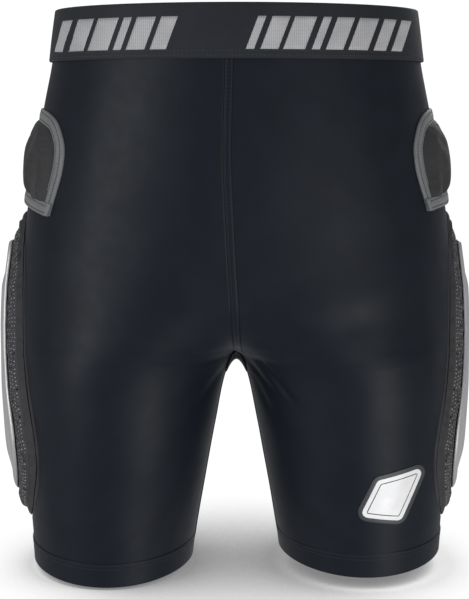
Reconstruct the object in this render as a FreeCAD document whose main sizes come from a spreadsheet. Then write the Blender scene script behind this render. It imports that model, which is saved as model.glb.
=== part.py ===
"""Padded impact shorts for skiing and snowboarding, as a parametric FreeCAD document.

The shorts are worn close to the body. They are made of a woven elastic waistband, four stretch panels
that meet in a centre seam and an inseam, a small crotch gusset, folded leg hems with gripper elastic
inside, a foam pad over each hip bone and over the tailbone, and a long foam pad with a hard plate down
each outer thigh. Each pad is foam inside a sewn cover, held by binding tape, with a lining inside.

Frame: millimetres, +Z up, the wearer faces -Y, and the wearer's left is +X. The origin is the centre of
the waist opening at the waistband's top edge, so everything lies below it.

The left half of the body surface is one loft through egg-shaped sections. Above the crotch a section
reaches past x = 0 and the centre plane trims it; below the crotch it is the closed section of one leg.
A pad is a piece of the space between two such lofts, one a little larger than the other, inside an
outline drawn in the side view or the back view. The right half mirrors the left.

Each leg swings about the hip line. A stretch zone of the shell, between the part that stays with the
seat and the part that goes with the leg, deforms as it does.
"""

import FreeCAD, Part
import math
import os
import Sketcher

from FreeCAD import Placement, Rotation, Vector

OUT = "parts"
SECTION_POINTS = 12  # points of one section's periodic curve

# Body sections, from the waist to the leg hem: how far down, and the outermost and innermost x, the
# front and the back depth of the left half.
LEVELS = {
    "waist": (0, 141, -141, 104, 102),
    "band_edge": (40, 146.5, -146.5, 105, 105),
    "upper_hip": (76, 154, -151, 105, 110),
    "hip_bone": (120, 162, -145, 104, 118),
    "low_hip": (165, 170, -127, 101, 123),
    "seat": (205, 174, -94, 98.5, 123),
    "rise": (240, 176.5, -54, 96.5, 115),
    "fork": (262, 177, -21, 95, 106),
    "crotch": (276, 177, 0, 94, 100),
    "top_thigh": (292, 177, 9.5, 92.5, 94),
    "mid_thigh": (332, 175.5, 17.8, 88, 86),
    "low_thigh": (373, 173, 25.4, 83, 80.5),
    "hem_fold": (414, 170, 32.6, 78, 76.5),
    "hem_edge": (450, 168, 37, 74, 73.5),
}
SECTION_SIZES = ("drop", "outer", "inner", "front", "back")

# Other driving dimensions.
SIZES = {
    "wall": 1.4,  # stretch fabric with its seam allowance
    "air": 0.3,  # room between two layers that are sewn together and not glued
    "band_height": 40,
    "band_thick": 2.2,
    "band_tuck": 10,  # how far the panels reach up inside the waistband
    "hem_drop": 450,
    "hem_height": 20,
    "hem_thick": 1.0,
    "gripper_height": 17,
    "gripper_thick": 1.0,
    "lining_thick": 0.7,
    "lining_inset": 4,
    "tape_thick": 2.2,
    "tape_width": 7.5,
    "cover_thick": 1.0,
    "dome_inset": 7,  # how far a foam's upper step stands in from its lower step
    "dome_share": 0.55,  # the lower step's share of the foam's thickness
    "hip_foam": 9.0,
    "hip_round": 12,
    "thigh_foam": 7.0,
    "thigh_round": 12,
    "tail_foam": 9.0,
    "tail_round": 22,
    "plate_thick": 2.6,
    "plate_round": 8,
    "rib_thick": 2.0,
    "rib_round": 4,
    "side_seam": 55,  # from the middle of the side to the seam of the side panel
    "inseam": 8,  # how far the side seam under the hip pad and the inseam lie behind the middle
    "side_plane": 96,  # a plane between the inner and the outer thigh
    "gusset_half_width": 18,
    "gusset_half_length": 30,
    "gusset_top": 256,
    "gusset_bottom": 281,
    "leg_gap": 0.5,  # clearance between the leg part and the stretch zone
    "label_half_width": 17,
    "label_top": 44,
    "label_bottom": 92,
    "label_thick": 0.5,
    "patch_thick": 0.5,
    "reach": 260,  # beyond the shorts in every direction
}

# Lower edge of the part of the shell that stays with the seat, and the upper edge of the part that goes
# with the leg: x and how far down.
SEAT_EDGE = ((0, 262), (100, 222), (150, 165), (260, 150))
LEG_EDGE = ((0, 300), (100, 244), (150, 226), (170, 204), (260, 192))

# Outlines that a rounded offset grows into each pad's real edge. Side view: y and how far down.
HIP_CORE = ((-30, 89), (0, 87.5), (30, 89), (50, 104), (51, 130), (-49, 148), (-52, 112))
HIP_FOOT_LINE = ((-90, 154.4), (0, 138.2), (90, 122))  # parts the lower tape from the front one
# The back half of a symmetric outline, from its top to its foot.
THIGH_HALF = ((3, 194), (15, 215), (25, 258), (34, 300), (41, 338), (38, 366), (24, 391), (3, 400))
PLATE_HALF = ((3, 198), (9, 228), (15, 262), (28, 302), (34, 335), (31, 358), (8, 377))
RIB_HALF = ((1, 206), (4, 240), (9, 300), (12, 335), (10, 352), (1, 368))
# Back view: x and how far down.
TAIL_CORE = ((-26, 96), (26, 96), (24, 140), (0, 172), (-24, 140))
# Front view, on the left thigh: x and how far down.
BORDER_CORE = ((116, 366), (146, 366), (131, 398), (101, 398))


def symmetric(half):
    """A whole outline from its back half: down the back and up the front."""
    return half + tuple((-across, down) for across, down in reversed(half))


def make_sheet(doc):
    """The spreadsheet that holds every driving dimension under its own alias."""
    sheet = doc.addObject("Spreadsheet::Sheet", "dims")
    rows = dict(SIZES)
    for level, values in LEVELS.items():
        for size, value in zip(SECTION_SIZES, values):
            rows[f"{level}_{size}"] = value
    for row, (alias, value) in enumerate(rows.items(), start=1):
        sheet.set(f"A{row}", alias)
        sheet.set(f"B{row}", str(value))
        sheet.setAlias(f"B{row}", alias)
    doc.recompute()
    return sheet


class Shorts:
    """Builds the document's objects, each with its sizes bound to the sheet."""

    def __init__(self, doc):
        self.doc = doc
        self.sheet = make_sheet(doc)
        self.lofts = {}
        self.parts = []

    def size(self, alias):
        return float(self.sheet.get(alias))

    def add(self, kind, name, **values):
        """A new object with plain property values."""
        made = self.doc.addObject(kind, name)
        for key, value in values.items():
            setattr(made, key, value)
        return made

    def part(self, made, label):
        """Marks an object as a sub-part: its label is the name of its file."""
        made.Label = label
        self.parts.append(made)
        return made

    # Trimming and joining

    def cut(self, name, base, tool):
        return self.add("Part::Cut", name, Base=base, Tool=tool, Refine=False)

    def common(self, name, *shapes):
        return self.add("Part::MultiCommon", name, Shapes=list(shapes), Refine=False)

    def fuse(self, name, *shapes):
        return self.add("Part::MultiFuse", name, Shapes=list(shapes), Refine=False)

    def mirrored(self, name, source):
        """The same piece on the wearer's right."""
        return self.add("Part::Mirroring", name, Source=source, Base=Vector(0, 0, 0), Normal=Vector(1, 0, 0))

    def box(self, name, low, high):
        """A box between two corners, each coordinate an expression or a number."""
        made = self.add("Part::Box", name)
        for axis, side, a, b in zip("xyz", ("Length", "Width", "Height"), low, high):
            made.setExpression(side, f"({b}) - ({a})")
            made.setExpression(f"Placement.Base.{axis}", f"{a}")
        return made

    # Outlines

    def outline(self, name, points, plane):
        """A closed sketch through points (across, down) in the side view, or in the front or back view.

        The side view's sketch stands between the inner and the outer thigh.
        """
        turn = {"side": Rotation(Vector(1, 1, 1), 120), "front": Rotation(Vector(1, 0, 0), 90)}[plane]
        sketch = self.add("Sketcher::SketchObject", name, Placement=Placement(Vector(0, 0, 0), turn))
        if plane == "side":
            sketch.setExpression("Placement.Base.x", "dims.side_plane")
        corners = [Vector(across, -down, 0) for across, down in points]
        count = len(corners)
        for start in range(count):
            sketch.addGeometry(Part.LineSegment(corners[start], corners[(start + 1) % count]))
        for line in range(count):
            sketch.addConstraint(Sketcher.Constraint("Coincident", line, 2, (line + 1) % count, 1))
        return sketch

    def grown(self, name, sketch, by):
        """The outline offset outwards by an expression, with round corners."""
        made = self.add("Part::Offset2D", name, Source=sketch, Mode=1, Join=0, Fill=False)
        made.setExpression("Value", by)
        return made

    def column(self, name, outline, direction, both_ways=False):
        """A solid over an outline, out to the reach along a direction."""
        made = self.add("Part::Extrusion", name, Base=outline, DirMode="Custom", Dir=direction, Solid=True)
        made.FaceMakerClass = "Part::FaceMakerBullseye"
        made.setExpression("LengthFwd", "dims.reach")
        if both_ways:
            made.setExpression("LengthRev", "dims.reach")
        return made

    def pad_column(self, name, sketch, by, direction):
        """The column over an outline that an expression grows."""
        return self.column(name, self.grown(f"{name}_edge", sketch, by), direction)

    # The body surface

    def section(self, name, level, grow):
        """One closed section of the left half, larger than the bare body by grow."""
        drop, outer, inner, front, back = (self.size(f"{level}_{size}") for size in SECTION_SIZES)
        centre, radius = (outer + inner) / 2, (outer - inner) / 2 + grow
        points = []
        for n in range(SECTION_POINTS):
            turn = math.pi + 2 * math.pi * n / SECTION_POINTS
            depth = (back if math.sin(turn) > 0 else front) + grow
            points.append(Vector(centre + radius * math.cos(turn), depth * math.sin(turn), -drop))
        curve = Part.BSplineCurve()
        curve.interpolate(Points=points, PeriodicFlag=True)
        made = self.add("Part::Feature", name)
        made.Shape = Part.Wire([curve.toShape()])
        return made

    def loft(self, grow):
        """The left half's solid, larger than the bare body by grow millimetres all round."""
        key = round(grow, 3)
        if key not in self.lofts:
            tag = f"{'in' if grow < 0 else 'out'}_{abs(round(grow * 100))}"
            sections = [self.section(f"section_{level}_{tag}", level, grow) for level in LEVELS]
            self.lofts[key] = self.add("Part::Loft", f"loft_{tag}", Sections=sections, Solid=True, Ruled=False)
        return self.lofts[key]

    def layer(self, name, low, high):
        """The space between the lofts at two heights above the bare body."""
        return self.cut(name, self.loft(high), self.loft(low))

    # Groups of sub-parts

    def both_sides(self, left, name):
        """Labels a left piece and adds its mirror on the right."""
        self.part(left, f"left_{name}")
        self.part(self.mirrored(f"right_{name}_mirror", left), f"right_{name}")

    def make_regions(self):
        """Solids that divide the left half: seat, stretch zone and leg, and the panels of each."""
        reach, gap = self.size("reach"), self.size("leg_gap")
        low = self.size("hem_drop")
        seat_edge = list(SEAT_EDGE)
        leg_edge = list(LEG_EDGE)
        above_leg = [(x, down - gap) for x, down in leg_edge]
        tuck = self.size("band_height") - self.size("band_tuck")
        areas = {
            "seat_area": [(0, tuck), (reach, tuck)] + seat_edge[::-1],
            "flex_area": seat_edge + above_leg[::-1],
            "leg_area": leg_edge + [(reach, low + 10), (0, low + 10)],
        }
        for name, points in areas.items():
            area = self.outline(f"{name}_outline", points, "front")
            setattr(self, name, self.column(name, area, Vector(0, 1, 0), both_ways=True))
        r = "dims.reach"
        self.front = self.box("front_area", ("0", f"-{r}", "-2 * " + r), (r, "dims.inseam", r))
        self.back = self.box("back_area", ("0", "dims.inseam", "-2 * " + r), (r, r, r))
        seam = "dims.side_seam"
        self.side = self.box("side_area", ("dims.side_plane + 16", f"-{seam}", "-2 * " + r), (r, seam, r))
        wide, long = "dims.gusset_half_width", "dims.gusset_half_length"
        self.gusset = self.box(
            "gusset_area", ("0", f"-{long}", "-dims.gusset_bottom"), (wide, long, "-dims.gusset_top")
        )

    def make_shell(self):
        """The stretch panels, the gusset between them and the stretch zones."""
        shell = self.layer("shell", -self.size("wall"), 0)
        self.make_regions()
        seat = self.cut("seat_shell", self.common("seat_half", shell, self.seat_area), self.gusset)
        self.both_sides(self.common("left_seat_front_cut", seat, self.front), "seat_front")
        self.both_sides(self.common("left_seat_back_cut", seat, self.back), "seat_back")
        half = self.common("gusset_half", shell, self.gusset)
        self.part(self.fuse("gusset_joined", half, self.mirrored("gusset_mirror", half)), "crotch_gusset")
        zone = self.cut("flex_ring", self.common("flex_half", shell, self.flex_area), self.gusset)
        self.both_sides(zone, "flex_zone")
        leg = self.common("leg_shell", shell, self.leg_area)
        trimmed = self.cut("leg_without_side", leg, self.side)
        self.both_sides(self.common("left_leg_front_cut", trimmed, self.front), "leg_front")
        self.both_sides(self.common("left_leg_back_cut", trimmed, self.back), "leg_back")
        self.both_sides(self.common("left_side_panel_cut", leg, self.side), "side_panel")

    def make_bands(self):
        """The waistband, the folded leg hems and the gripper elastic inside each hem."""
        air, r = self.size("air"), "dims.reach"
        ring = self.layer("band_ring", air, air + self.size("band_thick"))
        zone = self.box("band_area", ("0", f"-{r}", "-dims.band_height"), (r, r, "0"))
        half = self.common("band_half", ring, zone)
        self.part(self.fuse("band_joined", half, self.mirrored("band_mirror", half)), "waistband")
        fold = self.layer("hem_ring", air, air + self.size("hem_thick"))
        low = "-dims.hem_drop"
        zone = self.box("hem_area", ("0", f"-{r}", low), (r, r, f"{low} + dims.hem_height"))
        self.both_sides(self.common("left_hem_cut", fold, zone), "leg_hem")
        inner = -self.size("wall") - air
        grip = self.layer("gripper_ring", inner - self.size("gripper_thick"), inner)
        zone = self.box("gripper_area", ("0", f"-{r}", f"{low} + 1"), (r, r, f"{low} + 1 + dims.gripper_height"))
        self.both_sides(self.common("left_gripper_cut", grip, zone), "hem_gripper")

    def dome(self, name, sketch, round_by, inset, base, height, direction):
        """A foam or its outline in two steps, the upper one smaller: base and height above the body."""
        middle = base + (height - base) * self.size("dome_share")
        edge = f"dims.{round_by} - {inset}"
        low = self.common(
            f"{name}_low", self.layer(f"{name}_low_layer", base, middle),
            self.pad_column(f"{name}_low_column", sketch, edge, direction),
        )
        high = self.common(
            f"{name}_high", self.layer(f"{name}_high_layer", base, height),
            self.pad_column(f"{name}_high_column", sketch, f"{edge} - dims.dome_inset", direction),
        )
        return self.fuse(name, low, high)

    def make_pad(self, kind, sketch, foam_thick, border, direction):
        """A foam and its cover. The border is the width of the tape round the cover's foot."""
        air, cover = self.size("air"), self.size("cover_thick")
        round_by = f"{kind}_round"
        top = air + foam_thick
        foam = self.dome(f"{kind}_foam", sketch, round_by, border + cover + air, air, top, direction)
        outside = self.dome(f"{kind}_cover_outside", sketch, round_by, border, air, top + air + cover, direction)
        room = self.dome(f"{kind}_cover_inside", sketch, round_by, border + cover, 0, top + air, direction)
        return foam, self.cut(f"{kind}_cover", outside, room)

    def make_tape(self, kind, sketch, direction):
        """The binding tape round a pad's cover."""
        air, thick = self.size("air"), self.size("tape_thick")
        round_by = f"dims.{kind}_round"
        band = self.layer(f"{kind}_tape_layer", air, air + thick)
        whole = self.common(f"{kind}_tape_whole", band, self.pad_column(f"{kind}_tape_out", sketch, round_by, direction))
        inner = self.pad_column(f"{kind}_tape_in", sketch, f"{round_by} - dims.tape_width", direction)
        return self.cut(f"{kind}_tape", whole, inner)

    def make_hip_pads(self):
        """Over each hip bone: foam, cover, front and lower tape, and the lining inside the shell."""
        out = Vector(1, 0, 0)
        sketch = self.outline("hip_outline", HIP_CORE, "side")
        border = self.size("tape_width") + self.size("air")
        foam, cover = self.make_pad("hip", sketch, self.size("hip_foam"), border, out)
        self.both_sides(foam, "hip_foam")
        self.both_sides(cover, "hip_cover")
        tape = self.make_tape("hip", sketch, out)
        below = HIP_FOOT_LINE + ((90, 260), (-90, 260))
        foot = self.column("hip_foot", self.outline("hip_foot_outline", below, "side"), out)
        self.both_sides(self.cut("hip_tape_upper", tape, foot), "hip_tape")
        self.both_sides(self.common("hip_tape_foot", tape, foot), "hip_lower_tape")
        inner = -self.size("wall") - self.size("air")
        lining = self.layer("hip_lining_layer", inner - self.size("lining_thick"), inner)
        edge = self.pad_column("hip_lining_column", sketch, "dims.hip_round - dims.lining_inset", out)
        self.both_sides(self.common("hip_lining", lining, edge), "hip_lining")

    def make_thigh_pads(self):
        """Down each outer thigh: foam, perforated cover, and a hard plate with a raised rib."""
        out = Vector(1, 0, 0)
        sketch = self.outline("thigh_outline", symmetric(THIGH_HALF), "side")
        foam, cover = self.make_pad("thigh", sketch, self.size("thigh_foam"), 0, out)
        self.both_sides(foam, "thigh_foam")
        self.both_sides(cover, "thigh_cover")
        air, thick = self.size("air"), self.size("plate_thick")
        base = air + self.size("thigh_foam") + air + self.size("cover_thick") + air
        for kind, half, low, high in (
            ("plate", PLATE_HALF, base, base + thick),
            ("rib", RIB_HALF, base + thick, base + thick + self.size("rib_thick")),
        ):
            shape = self.outline(f"{kind}_outline", symmetric(half), "side")
            edge = self.pad_column(f"{kind}_column", shape, f"dims.{kind}_round", out)
            piece = self.common(f"{kind}_cut", self.layer(f"{kind}_layer", low, high), edge)
            self.both_sides(piece, f"thigh_{kind}")

    def make_tail_pad(self):
        """Over the tailbone: foam, cover and tape, each joined from two mirrored halves."""
        out = Vector(0, 1, 0)
        sketch = self.outline("tail_outline", TAIL_CORE, "front")
        border = self.size("tape_width") + self.size("air")
        foam, cover = self.make_pad("tail", sketch, self.size("tail_foam"), border, out)
        tape = self.make_tape("tail", sketch, out)
        for piece, name in ((foam, "foam"), (cover, "cover"), (tape, "tape")):
            half = self.common(f"tail_{name}_half", piece, self.back)
            whole = self.fuse(f"tail_{name}_joined", half, self.mirrored(f"tail_{name}_mirror", half))
            self.part(whole, f"tailbone_{name}")

    def make_details(self):
        """The reflective patch with its border on the left thigh, and the care label at the back."""
        air, thick = self.size("air"), self.size("patch_thick")
        core = self.outline("patch_outline", BORDER_CORE, "front")
        ahead = Vector(0, -1, 0)
        layers = (("reflective_border", 8, air), ("reflective_patch", 4, air + thick))
        for label, grow, base in layers:
            edge = self.pad_column(f"{label}_column", core, f"{grow}", ahead)
            self.part(self.common(f"{label}_cut", self.layer(f"{label}_layer", base, base + thick), edge), label)
        inner = -self.size("wall") - air
        film = self.layer("label_layer", inner - self.size("label_thick"), inner)
        half_width = "dims.label_half_width"
        zone = self.box("label_area", ("0", "0", "-dims.label_bottom"), (half_width, "dims.reach", "-dims.label_top"))
        half = self.common("label_half", film, zone)
        self.part(self.fuse("label_joined", half, self.mirrored("label_mirror", half)), "care_label")


def check(doc, parts):
    """Stops when any object failed or any sub-part has no valid solid."""
    failed = [item.Name for item in doc.Objects if {"Invalid", "Error"} & set(item.State)]
    if failed:
        raise RuntimeError(f"failed objects: {failed}")
    poor = [
        item.Label for item in parts
        if item.Shape.isNull() or not item.Shape.isValid() or not item.Shape.Solids
    ]
    if poor:
        raise RuntimeError(f"no valid solid in: {poor}")


def main():
    doc = FreeCAD.newDocument("impact_shorts")
    shorts = Shorts(doc)
    shorts.make_shell()
    shorts.make_bands()
    shorts.make_hip_pads()
    shorts.make_thigh_pads()
    shorts.make_tail_pad()
    shorts.make_details()
    doc.recompute()
    check(doc, shorts.parts)
    os.makedirs(OUT, exist_ok=True)
    for item in shorts.parts:
        item.Shape.exportStep(os.path.join(OUT, f"{item.Label}.step"))
        box = item.Shape.BoundBox
        sizes = f"{box.XLength:.1f} x {box.YLength:.1f} x {box.ZLength:.1f}"
        print(f"{item.Label:24s} {len(item.Shape.Solids)} solid, {item.Shape.Volume:10.1f} mm3, {sizes}")


main()
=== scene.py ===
"""Padded impact shorts: the looks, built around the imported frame.

Lengths are in millimetres until a mesh is made. The wearer faces -Y, with the left side at +X and the
origin at the centre of the waist opening.
"""

import math
import random

import bpy
import bmesh
import numpy as np
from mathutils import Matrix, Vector


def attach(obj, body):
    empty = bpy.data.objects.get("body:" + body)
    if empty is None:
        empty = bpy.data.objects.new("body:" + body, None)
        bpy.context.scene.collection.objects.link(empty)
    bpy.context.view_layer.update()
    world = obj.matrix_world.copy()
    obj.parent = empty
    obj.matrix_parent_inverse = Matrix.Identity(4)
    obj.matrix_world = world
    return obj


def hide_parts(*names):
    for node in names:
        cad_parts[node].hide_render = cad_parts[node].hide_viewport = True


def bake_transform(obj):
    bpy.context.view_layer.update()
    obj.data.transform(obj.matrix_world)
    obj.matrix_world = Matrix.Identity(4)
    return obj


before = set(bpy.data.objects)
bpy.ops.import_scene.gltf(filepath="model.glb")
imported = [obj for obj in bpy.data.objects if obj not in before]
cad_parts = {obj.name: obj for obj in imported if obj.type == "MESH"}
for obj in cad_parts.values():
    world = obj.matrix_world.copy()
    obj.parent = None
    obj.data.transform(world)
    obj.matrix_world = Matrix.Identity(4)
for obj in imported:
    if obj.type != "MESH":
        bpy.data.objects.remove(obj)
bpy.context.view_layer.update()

MM = 0.001
LEFT, RIGHT = 1, -1
SIDES = ((LEFT, "left"), (RIGHT, "right"))

# ---- the body surface

# How far down, outermost and innermost x, front and back depth of the left half.
LEVELS = (
    (0, 141, -141, 104, 102),
    (40, 146.5, -146.5, 105, 105),
    (76, 154, -151, 105, 110),
    (120, 162, -145, 104, 118),
    (165, 170, -127, 101, 123),
    (205, 174, -94, 98.5, 123),
    (240, 176.5, -54, 96.5, 115),
    (256, 177, -27, 95.3, 109),
    (264, 177, -11, 94.7, 105),
    (272, 177, 0, 94.3, 101.5),
    (292, 177, 9.8, 92.5, 94),
    (332, 175.5, 17.8, 88, 86),
    (373, 173, 25.4, 83, 80.5),
    (414, 170, 32.6, 78, 76.5),
    (450, 168, 37, 74, 73.5),
)
CROTCH = 272.0
HEM = {LEFT: 441.5, RIGHT: 450.0}  # the shorts hang a little higher on the left leg
HEM_RISE = 5.0  # how much higher each hem is at its sides than at its front and back
BAND = 40.0
VALLEY = 22.0  # how far the fabric bridges the dip between the two halves, front and back


def smooth_curve(table, x, column=1):
    """A column of a table over its first one: cubic Hermite interpolation with monotone slopes."""
    xs, ys = np.array(table, float)[:, [0, column]].T
    step = np.diff(xs)
    rise = np.diff(ys) / step
    slope = np.zeros(len(xs))
    for k in range(1, len(xs) - 1):
        if rise[k - 1] * rise[k] > 0:
            a, b = 2 * step[k] + step[k - 1], step[k] + 2 * step[k - 1]
            slope[k] = (a + b) / (a / rise[k - 1] + b / rise[k])
    slope[0], slope[-1] = rise[0], rise[-1]
    x = np.clip(x, xs[0], xs[-1])
    k = np.clip(np.searchsorted(xs, x, side="right") - 1, 0, len(xs) - 2)
    t = (x - xs[k]) / step[k]
    return (
        ys[k] * (1 + 2 * t) * (1 - t) ** 2 + slope[k] * step[k] * t * (1 - t) ** 2
        + ys[k + 1] * t * t * (3 - 2 * t) + slope[k + 1] * step[k] * t * t * (t - 1)
    )


def level(z):
    """Centre, half width, front depth and back depth of the left half's section at height z."""
    down = -np.asarray(z, float)
    outer, inner = (smooth_curve(LEVELS, down, k) for k in (1, 2))
    near = (-12, -6, 0, 6, 12)
    front, back = (sum(smooth_curve(LEVELS, down + by, k) for by in near) / len(near) for k in (3, 4))
    return (outer + inner) / 2, (outer - inner) / 2, front, back


def depth_at(z, ahead):
    """The left half's depth at height z, on the front where ahead is true."""
    _, _, front, back = level(z)
    return np.where(ahead, front, back)


def smoothstep(low, high, x):
    t = np.clip((np.asarray(x, float) - low) / (high - low), 0, 1)
    return t * t * (3 - 2 * t)


def spread(*values):
    """The values as arrays of one shape."""
    return np.broadcast_arrays(*(np.asarray(v, float) for v in values))


def widest_turn(z):
    """The angle, from the outermost point, at which the left half's section reaches x = 0."""
    centre, radius, _, _ = level(z)
    return np.arccos(np.clip(-centre / radius, -1, 1))


def surface(z, turn, lift=0.0):
    """Points of the left half: turn is 0 at the outermost x and negative at the front."""
    z, turn, lift = spread(z, turn, lift)
    centre, radius, _, _ = level(z)
    radius = radius + lift
    depth = depth_at(z, turn < 0) + lift
    x = centre + radius * np.cos(turn)
    lean = np.clip(centre / radius, 0, 0.98)
    slope = depth * lean / radius / np.sqrt(1 - lean**2)
    reach = VALLEY * smoothstep(-CROTCH, -CROTCH + 51, z)
    fill = slope * reach * np.exp(-np.abs(x) / (reach + 0.1)) * smoothstep(80, 30, x)
    rise = HEM_RISE * smoothstep(-404, -446, z) * np.cos(turn) ** 2
    return np.stack([x, depth * np.sin(turn) + np.sign(turn) * fill, z + rise], -1)


def side_turn(y, z, lift=0.0):
    """The turn at which the outer side of the left half has this y."""
    y = np.asarray(y)
    return np.arcsin(np.clip(y / (depth_at(z, y < 0) + lift), -1, 1))


def mirrored(points, side):
    points = np.array(points, float)
    points[..., 0] *= side
    return points


def on_side(side):
    """Wraps side-view points (y, z) onto one side of the body."""
    return lambda y, z, lift: mirrored(surface(z, side_turn(y, z, lift), lift), side)


def on_middle(toward):
    """Wraps points (x, z) onto the body; toward is -1 for the front view, 1 for the back view."""

    def wrap(across, z, lift):
        across, z, lift = spread(across, z, lift)
        centre, radius, _, _ = level(z)
        turn = np.arccos(np.clip((np.abs(across) - centre) / (radius + lift), -1, 1))
        points = surface(z, toward * turn, lift)
        points[..., 0] = across
        return points

    return wrap


# The front centre seam lies to the wearer's right of the middle: how far down, and by how much.
SEAM_SHIFT = ((0, 7), (40, 7.6), (106, 9.2), (165, 7.1), (218, 4.2), (262, 1.6), (276, 0), (450, 0))


def shift(z):
    return smooth_curve(SEAM_SHIFT, -np.asarray(z, float))


def shifted(points):
    """Moves the front's middle sideways, with the seam; further out nothing moves."""
    near = np.exp(-((points[..., 0] / 45) ** 2)) * smoothstep(10, -40, points[..., 1])
    points[..., 0] -= shift(points[..., 2]) * near
    return points


# ---- folds of the worn fabric


CREASE_TAPER = 0.3


def crease(x, z, start, end, width, depth):
    """A soft groove from start to end in the front view, deepest in its middle."""
    ax, az = start
    bx, bz = end
    length = math.hypot(bx - ax, bz - az)
    tx, tz = (bx - ax) / length, (bz - az) / length
    along = ((x - ax) * tx + (z - az) * tz) / length
    across = -(x - ax) * tz + (z - az) * tx
    ends = smoothstep(-CREASE_TAPER, CREASE_TAPER, along)
    ends = ends * smoothstep(1 + CREASE_TAPER, 1 - CREASE_TAPER, along)
    return -depth * ends * np.exp(-((across / width) ** 2))


def soft_noise(a, b, seed, size):
    """Smooth repeatable unevenness of the surface, from a few crossed waves."""
    pick = random.Random(seed)
    total = np.zeros(np.broadcast(a, b).shape)
    for _ in range(7):
        angle = pick.uniform(0, math.pi)
        wave = size * pick.uniform(0.7, 1.6)
        start = pick.uniform(0, 2 * math.pi)
        total = total + np.sin((a * math.cos(angle) + b * math.sin(angle)) * 2 * math.pi / wave + start)
    return total / 7


# Creases at the front, for each side: start and end (x, z) on the left half, width and depth.
FRONT_CREASES = {
    LEFT: [
        ((2, -258), (110, -232), 13, 1.7),
        ((9, -274), (30, -300), 2.6, 1.7),
        ((18, -270), (42, -298), 2.2, 1.5),
        ((12, -284), (26, -312), 3.0, 1.0),
        ((4, -236), (60, -252), 7, 0.7),
    ],
    RIGHT: [
        ((8, -262), (70, -250), 10, 0.4),
        ((8, -280), (28, -304), 3.2, 1.0),
        ((5, -236), (50, -252), 8, 0.5),
    ],
}
BACK_CREASES = [
    ((8, -250), (96, -262), 10, 1.6),
    ((10, -264), (80, -284), 7, 1.0),
    ((16, -282), (44, -306), 4, 1.0),
]


def folds(points, side):
    """How far the fabric lies in or out at points of the left half."""
    x, y, z = points[..., 0], points[..., 1], points[..., 2]
    ahead = smoothstep(20, -20, y)
    rise = np.zeros(x.shape)
    for share, lines in ((ahead, FRONT_CREASES[side]), (1 - ahead, BACK_CREASES)):
        for line in lines:
            rise += share * crease(x, z, *line)
    # a long soft ridge from the crotch up to the outer thigh, and a fuller front thigh below it
    rise -= ahead * crease(x, z, (12, -270), (150, -196), 22, 1.6 if side == LEFT else 0.8)
    rise += ahead * 1.2 * np.exp(-(((x - 100) / 40) ** 2) - ((z + 330) / 70) ** 2)
    rise += soft_noise(x + 1.7 * y, z, 11 + side, 95) * 0.55 + soft_noise(x - y, z, 5 + side, 42) * 0.16
    calm = smoothstep(-44, -70, z) * smoothstep(-HEM[side] + 2, -HEM[side] + 25, z)
    middle = (1 - smoothstep(0, 14, x)) * smoothstep(-CROTCH - 24, -CROTCH, z)
    return rise * calm * (1 - middle)


def fabric(side, z, turn, lift=0.0):
    """Points of the worn fabric on one side, folds included."""
    z, turn, lift = spread(z, turn, lift)
    rise = folds(surface(z, turn), side)
    return shifted(mirrored(surface(z, turn, lift + rise), side))


def on_front(x, z, lift):
    """Wraps front-view points (x, z) onto the worn fabric near the centre seam."""
    x, z, lift = spread(x, z, lift)
    points = on_middle(-1)(x + shift(z) * np.exp(-((x / 45) ** 2)), z, lift)
    points[..., 0] = x
    return points


def on_left_thigh(x, z, lift):
    """Wraps front-view points (x, z) onto the worn fabric of the left thigh."""
    rise = folds(on_middle(-1)(x, z, 0.0), LEFT)
    return on_middle(-1)(x, z, lift + rise)


# ---- mesh making


def link(name, data):
    made = bpy.data.objects.new(name, data)
    bpy.context.scene.collection.objects.link(made)
    return made


def make_object(name, verts, faces, uvs=None):
    """An object from points in millimetres. uvs holds one pair for each point."""
    mesh = bpy.data.meshes.new(name)
    mesh.from_pydata((np.asarray(verts, float) * MM).tolist(), [], faces)
    mesh.polygons.foreach_set("use_smooth", [True] * len(mesh.polygons))
    if uvs is not None:
        layer = mesh.uv_layers.new(name="UVMap")
        corner = np.zeros(len(mesh.loops), np.int32)
        mesh.loops.foreach_get("vertex_index", corner)
        layer.data.foreach_set("uv", np.asarray(uvs, float)[corner].ravel())
    mesh.update()
    return link(name, mesh)


def edit_mesh(obj, change):
    """Changes a mesh through bmesh and turns its faces outwards."""
    work = bmesh.new()
    work.from_mesh(obj.data)
    change(work)
    bmesh.ops.recalc_face_normals(work, faces=work.faces)
    work.to_mesh(obj.data)
    work.free()
    return obj


def weld(obj):
    """Joins the points that coincide."""
    return edit_mesh(obj, lambda work: bmesh.ops.remove_doubles(work, verts=work.verts, dist=0.02 * MM))


def close_ends(work):
    ends = [edge for edge in work.edges if edge.is_boundary]
    bmesh.ops.holes_fill(work, edges=ends, sides=0)


def grid_faces(rows, cols, side, first=0):
    """Quads of a grid of points; side turns them outwards on either half."""
    at = first + np.arange(rows * cols).reshape(rows, cols)
    quads = np.stack([at[:-1, :-1], at[1:, :-1], at[1:, 1:], at[:-1, 1:]], -1).reshape(-1, 4)
    return (quads if side == LEFT else quads[:, ::-1]).tolist()


def arc_lengths(points, axis):
    """Distance run along an axis of a grid of points."""
    step = np.linalg.norm(np.diff(points, axis=axis), axis=-1)
    zero = np.zeros_like(np.take(step, [0], axis=axis))
    return np.concatenate([zero, np.cumsum(step, axis=axis)], axis=axis)


def closed_up(points, axis=0):
    """The points with the first ones repeated at the end of an axis."""
    return np.concatenate([points, np.take(points, [0], axis=axis)], axis)


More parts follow.
